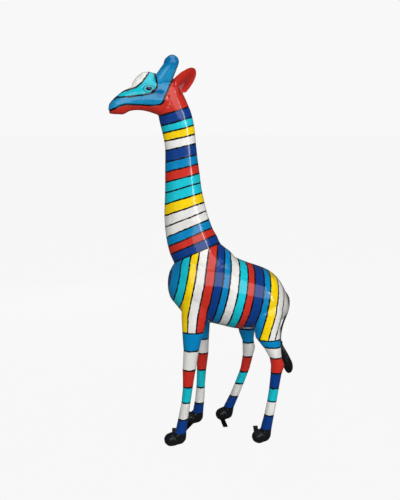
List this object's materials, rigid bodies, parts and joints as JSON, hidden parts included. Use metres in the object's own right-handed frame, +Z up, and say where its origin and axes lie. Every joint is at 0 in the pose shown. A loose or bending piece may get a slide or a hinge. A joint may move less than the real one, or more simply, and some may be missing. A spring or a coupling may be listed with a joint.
{
  "type": "giraffe statue",
  "caption": "Standing giraffe statue in a walking pose: bonded cast shells over a welded steel armature, with bolt-down tabs at the hooves.",
  "frame": {"origin": "on the floor, under the middle of the statue's box", "axes": "+Z up, the nose points along -Y, the animal's left side is +X"},
  "size_m": [0.3854, 0.9688, 1.9996],
  "materials": {
    "painted_shell": "gloss enamel stripes under clear lacquer",
    "painted_ear": "gloss enamel under clear lacquer",
    "painted_eye": "gloss enamel under clear lacquer",
    "black_hoof": "worn black enamel",
    "black_steel": "black enamel on mild steel",
    "bare_steel": "mill finish with weld scale",
    "resin_board": "bare glass-fibre laminate"
  },
  "bodies": {
    "root": {"trunk_shell_left": "painted_shell", "trunk_shell_right": "painted_shell", "neck_shell_left": "painted_shell", "neck_shell_right": "painted_shell", "head_shell_left": "painted_shell", "head_shell_right": "painted_shell", "leg_front_left": "painted_shell", "leg_front_right": "painted_shell", "leg_rear_left": "painted_shell", "leg_rear_right": "painted_shell", "hoof_front_left": "black_hoof", "hoof_front_right": "black_hoof", "hoof_rear_left": "black_hoof", "hoof_rear_right": "black_hoof", "horn_left": "painted_shell", "horn_right": "painted_shell", "ear_left": "painted_ear", "ear_right": "painted_ear", "eye_left": "painted_eye", "eye_right": "painted_eye", "tail_stem": "black_hoof", "tail_tuft": "black_hoof", "tail_wire": "bare_steel", "neck_bulkhead": "resin_board", "head_bulkhead": "resin_board", "spine_tube": "bare_steel", "shoulder_crossbar": "bare_steel", "hip_crossbar": "bare_steel", "neck_tube": "bare_steel", "head_rod": "bare_steel", "leg_rod_front_left": "bare_steel", "leg_rod_front_right": "bare_steel", "leg_rod_rear_left": "bare_steel", "leg_rod_rear_right": "bare_steel", "tab_front_left": "black_steel", "tab_front_right": "black_steel", "tab_rear_left": "black_steel", "tab_rear_right": "black_steel"}
  },
  "joints": []
}
